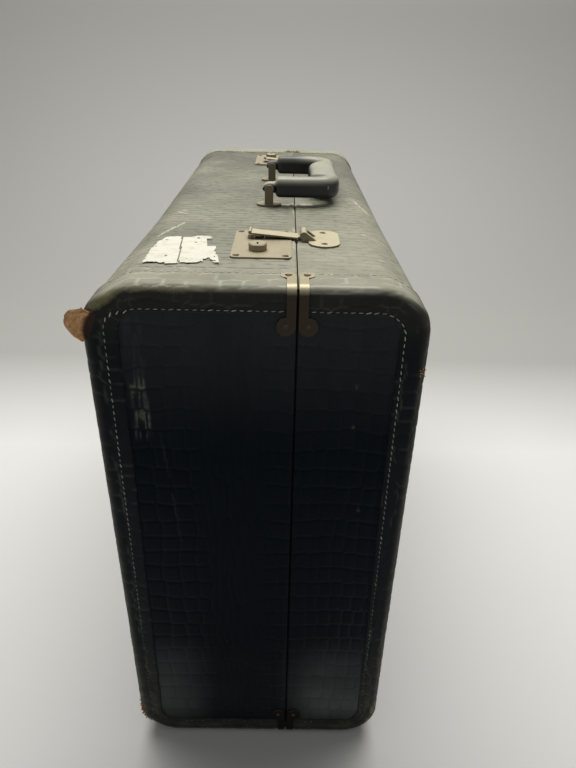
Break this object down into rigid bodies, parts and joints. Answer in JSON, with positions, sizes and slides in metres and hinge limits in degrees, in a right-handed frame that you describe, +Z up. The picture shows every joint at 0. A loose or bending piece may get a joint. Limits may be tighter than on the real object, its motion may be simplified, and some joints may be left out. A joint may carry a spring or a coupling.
{
  "type": "vintage suitcase",
  "caption": "Hard leather-covered travel case with bound ends, hasp locks, corner clips, a hinged lid and a loop handle.",
  "frame": {"origin": "middle of the case's footprint, on the surface it stands on, at rest on its hinge side", "axes": "+X from base to lid through the depth, +Y along the length, +Z up towards the handle"},
  "size_m": [0.229, 0.6124, 0.497],
  "materials": {
    "grained_leather": "embossed scale grain, worn",
    "binding_leather": "smooth, creased, worn edges",
    "rim_leather": "matt brown",
    "handle_leather": "polished by use",
    "carcase_wood": "raw ply",
    "lining_cloth": "woven cotton",
    "nickel_fittings": "tarnished nickel plate",
    "inner_steel": "dull"
  },
  "bodies": {
    "base": {"base_back_board": "carcase_wood", "base_top_board": "carcase_wood", "base_bottom_board": "carcase_wood", "base_near_end_board": "carcase_wood", "base_far_end_board": "carcase_wood", "base_top_rail": "carcase_wood", "base_bottom_rail": "carcase_wood", "base_cover": "grained_leather", "base_end_panels": "grained_leather", "base_near_binding": "binding_leather", "base_far_binding": "binding_leather", "base_rim": "rim_leather", "base_lining": "lining_cloth", "base_valance": "rim_leather", "base_clips": "nickel_fittings", "base_nails": "nickel_fittings", "near_lock_plate": "nickel_fittings", "far_lock_plate": "nickel_fittings", "near_lock_case": "inner_steel", "far_lock_case": "inner_steel", "near_handle_loop": "nickel_fittings", "far_handle_loop": "nickel_fittings", "handle_backing_plates": "inner_steel", "near_hinge_base_leaf": "nickel_fittings", "far_hinge_base_leaf": "nickel_fittings", "near_hinge_pin": "inner_steel", "far_hinge_pin": "inner_steel"},
    "lid": {"lid_front_board": "carcase_wood", "lid_top_board": "carcase_wood", "lid_bottom_board": "carcase_wood", "lid_near_end_board": "carcase_wood", "lid_far_end_board": "carcase_wood", "lid_top_rail": "carcase_wood", "lid_bottom_rail": "carcase_wood", "lid_cover": "grained_leather", "lid_end_panels": "grained_leather", "lid_near_binding": "binding_leather", "lid_far_binding": "binding_leather", "lid_rim": "rim_leather", "lid_lining": "lining_cloth", "lid_clips": "nickel_fittings", "lid_nails": "nickel_fittings", "near_hasp_plate": "nickel_fittings", "far_hasp_plate": "nickel_fittings", "near_hasp_pin": "inner_steel", "far_hasp_pin": "inner_steel", "near_hinge_lid_leaf": "nickel_fittings", "far_hinge_lid_leaf": "nickel_fittings"},
    "handle": {"handle_core": "inner_steel", "handle_leather": "handle_leather"},
    "near_hasp": {"near_hasp": "nickel_fittings"},
    "far_hasp": {"far_hasp": "nickel_fittings"},
    "near_knob": {"near_lock_knob": "nickel_fittings", "near_lock_bolt": "inner_steel"},
    "far_knob": {"far_lock_knob": "nickel_fittings", "far_lock_bolt": "inner_steel"}
  },
  "joints": [
    {"name": "lid_hinge", "type": "hinge", "parent": "base", "child": "lid", "pos_m": [0.0255, 0, 0.0019], "axis": [0, 1, 0], "range_deg": [0, 100]},
    {"name": "handle_pivot", "type": "hinge", "parent": "base", "child": "handle", "pos_m": [0, 0, 0.4838], "axis": [0, -1, 0], "range_deg": [0, 165]},
    {"name": "near_hasp_hinge", "type": "hinge", "parent": "lid", "child": "near_hasp", "pos_m": [0.0315, -0.1855, 0.4725], "axis": [0, 1, 0], "range_deg": [-5, 150]},
    {"name": "far_hasp_hinge", "type": "hinge", "parent": "lid", "child": "far_hasp", "pos_m": [0.0315, 0.1855, 0.4725], "axis": [0, 1, 0], "range_deg": [-5, 150]},
    {"name": "near_knob_slide", "type": "slide", "parent": "base", "child": "near_knob", "axis": [0, 1, 0], "range_m": [0, 0.006]},
    {"name": "far_knob_slide", "type": "slide", "parent": "base", "child": "far_knob", "axis": [0, -1, 0], "range_m": [0, 0.006]}
  ]
}
